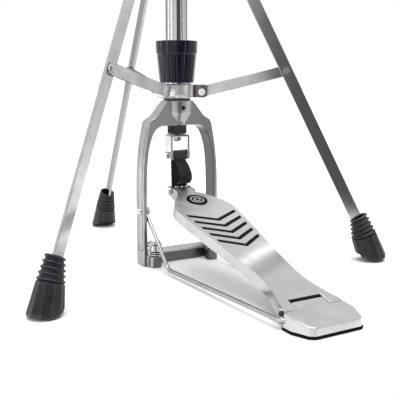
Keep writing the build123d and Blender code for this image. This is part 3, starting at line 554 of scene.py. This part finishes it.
def spur_collar(side):
    """Dark sleeve with bright ribs round one spur screw."""
    node = f"spur_screw_{side}"
    low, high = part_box(node)
    centre = ((low[0] + high[0]) / 2, SPUR_Y)
    sleeve = [(SLEEVE_BORE_R, COLLAR_LOW), (SPUR_CORE_R, COLLAR_LOW), (SPUR_CORE_R, COLLAR_HIGH),
              (SLEEVE_BORE_R, COLLAR_HIGH)]
    turned(f"spur_sleeve_{side}", centre, [sleeve], "black_rubber", BODY_OF[node])
    pitch = (COLLAR_HIGH - COLLAR_LOW) / COLLAR_RIBS
    middle_r, wire = (SPUR_CORE_R + SPUR_RIB_R) / 2, (SPUR_RIB_R - SPUR_CORE_R) / 2 + 0.00005
    ribs = []
    for i in range(COLLAR_RIBS):
        z = COLLAR_LOW + pitch * (i + 0.5)
        ribs.append([(middle_r + wire * cos(pi * k / 6), z + wire * sin(pi * k / 6)) for k in range(12)])
    turned(f"spur_ribs_{side}", centre, ribs, "bright_screws", BODY_OF[node])


for side in ("left", "right"):
    spur_collar(side)

# ---- broken edges on the castings, bars and pressings -------------------------------------------
for node, width in (("yoke_frame", 0.0009), ("base_crossbar", 0.0007),
                    ("footboard", 0.0004), ("clevis", 0.0006), ("strap_clamp", 0.0005),
                    ("swivel_ring", 0.0007),
                    ("toe_bracket", 0.0004), ("hub_bush", 0.0004), ("tension_knob", 0.0005),
                    ("leg_left", 0.0004), ("leg_right", 0.0004), ("leg_rear", 0.0004),
                    ("brace_left", 0.0004), ("brace_right", 0.0004), ("brace_rear", 0.0004),
                    ("leg_hub", 0.0006), ("height_clamp", 0.0006), ("heel_pad", 0.0003)):
    refined(node, width)
refined("heel_plate", 0.0009, 3, cuts=(-0.0186, 0.0186), merge=8e-5)

# ---- tread strips, moulded with a lip over the edge of their grooves -----------------------------
STRIP_LIP = 0.0005


def lipped_strips():
    """Copy of the tread strips, widened within the board's plane."""
    bm = bmesh.new()
    bm.from_mesh(NODES["grip_strips"].data)
    bmesh.ops.remove_doubles(bm, verts=bm.verts, dist=2e-6)
    bmesh.ops.dissolve_limit(bm, angle_limit=radians(0.6), verts=bm.verts, edges=bm.edges)
    bm.normal_update()
    board_up = Vector((0, -sin(BOARD_SLOPE), cos(BOARD_SLOPE)))
    for vert in bm.verts:
        outward = vert.normal - board_up * vert.normal.dot(board_up)
        vert.co += outward.normalized() * STRIP_LIP
    mesh = bpy.data.meshes.new("grip_strips_lipped")
    bm.to_mesh(mesh)
    bm.free()
    finish(mesh, SLOT_OF["grip_strips"], 40.0)
    treads = bpy.data.objects.new("grip_strips_lipped", mesh)
    bpy.context.scene.collection.objects.link(treads)
    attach(treads, "footboard")
    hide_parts("grip_strips")


lipped_strips()

# ---- tension spring, copied onto its own mesh (the real one shortens as the pedal goes down) ----
spring = bpy.data.objects.new("tension_spring_coil", NODES["tension_spring"].data.copy())
bpy.context.scene.collection.objects.link(spring)
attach(spring, BODY_OF["tension_spring"])
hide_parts("tension_spring")
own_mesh(spring)


# ---- stage, light and camera --------------------------------------------------------------------
def floor():
    """Large pale disc under the object."""
    bm = bmesh.new()
    bmesh.ops.create_circle(bm, cap_ends=True, segments=128, radius=9,
                            matrix=Matrix.Translation((0, 8.6, 0)))
    mesh = bpy.data.meshes.new("floor")
    bm.to_mesh(mesh)
    bm.free()
    obj = bpy.data.objects.new("floor", mesh)
    bpy.context.scene.collection.objects.link(obj)
    obj.location.z = -0.0005
    s = Shader("floor_paper")
    cloud = s.noise(0.6, 2.0)
    s.colour(s.mix(cloud, (0.93, 0.93, 0.93), (0.96, 0.96, 0.96)))
    s.roughness(s.ramp(cloud, 0.3, 0.7, 0.85, 0.95))
    mesh.materials.append(s.mat)


def glow(name, first, last, width, target, radiance):
    """Narrow glowing strip from one point to another, facing a target."""
    first, last, target = Vector(first), Vector(last), Vector(target)
    middle = (first + last) / 2
    back = (middle - target).normalized()
    side = back.cross((last - first).normalized()).normalized()
    along = side.cross(back)
    data = bpy.data.lights.new(name, "AREA")
    data.shape = "RECTANGLE"
    data.size, data.size_y = (last - first).length, width
    data.energy = radiance * pi * data.size * data.size_y
    obj = bpy.data.objects.new(name, data)
    bpy.context.scene.collection.objects.link(obj)
    obj.matrix_world = Matrix.Translation(middle) @ Matrix((along, side, back)).transposed().to_4x4()
    obj.visible_camera = False


def ceiling():
    """Broad soft light straight above."""
    data = bpy.data.lights.new("ceiling", "SUN")
    data.angle = radians(46)
    data.energy = 1.9
    obj = bpy.data.objects.new("ceiling", data)
    bpy.context.scene.collection.objects.link(obj)


def studio():
    """White surroundings, darker round the viewer's side, as in a product tent."""
    world = bpy.data.worlds.new("studio")
    bpy.context.scene.world = world
    world.use_nodes = True
    tree = world.node_tree
    back = tree.nodes["Background"]
    coords = tree.nodes.new("ShaderNodeTexCoord")
    aim = tree.nodes.new("ShaderNodeVectorMath")
    aim.operation = "DOT_PRODUCT"
    aim.inputs[1].default_value = (0.12, -0.993, 0.0)
    tree.links.new(coords.outputs["Generated"], aim.inputs[0])
    ramp = tree.nodes.new("ShaderNodeMapRange")
    ramp.interpolation_type = "SMOOTHSTEP"
    for key, number in (("From Min", 0.815), ("From Max", 0.848), ("To Min", 1.0), ("To Max", 0.11)):
        ramp.inputs[key].default_value = number
    tree.links.new(aim.outputs["Value"], ramp.inputs["Value"])
    path = tree.nodes.new("ShaderNodeLightPath")
    seen = tree.nodes.new("ShaderNodeMix")
    tree.links.new(path.outputs["Is Camera Ray"], seen.inputs[0])
    tree.links.new(ramp.outputs["Result"], seen.inputs[2])
    seen.inputs[3].default_value = 1.0
    tree.links.new(seen.outputs[0], back.inputs["Strength"])
    back.inputs["Color"].default_value = (1, 1, 1, 1)


def camera():
    data = bpy.data.cameras.new("camera")
    data.lens = 62.2
    data.sensor_width = 36
    obj = bpy.data.objects.new("camera", data)
    bpy.context.scene.collection.objects.link(obj)
    obj.location = (-0.4005, -0.7440, 0.2222)
    obj.rotation_euler = Vector((0.4955, 0.8516, -0.1708)).to_track_quat("-Z", "Y").to_euler()
    bpy.context.scene.camera = obj


floor()
studio()
ceiling()
glow("board_card", (0.0566, -0.1019, 0.1479), (0.1215, -0.0781, 0.1498), 0.008, (0.0, -0.174, 0.044), 1.5)
for name, turn, radiance in (("left_tube", 187, 10), ("right_tube", 292, 6), ("back_tube", 146, 8)):
    spot = Vector((cos(radians(turn)), sin(radians(turn)), 0)) * 1.6
    glow(name, spot + Vector((0, 0, -0.05)), spot + Vector((0, 0, 0.75)), 0.05, (0, 0, 0.2), radiance)
camera()
bpy.context.scene.view_settings.view_transform = "Standard"
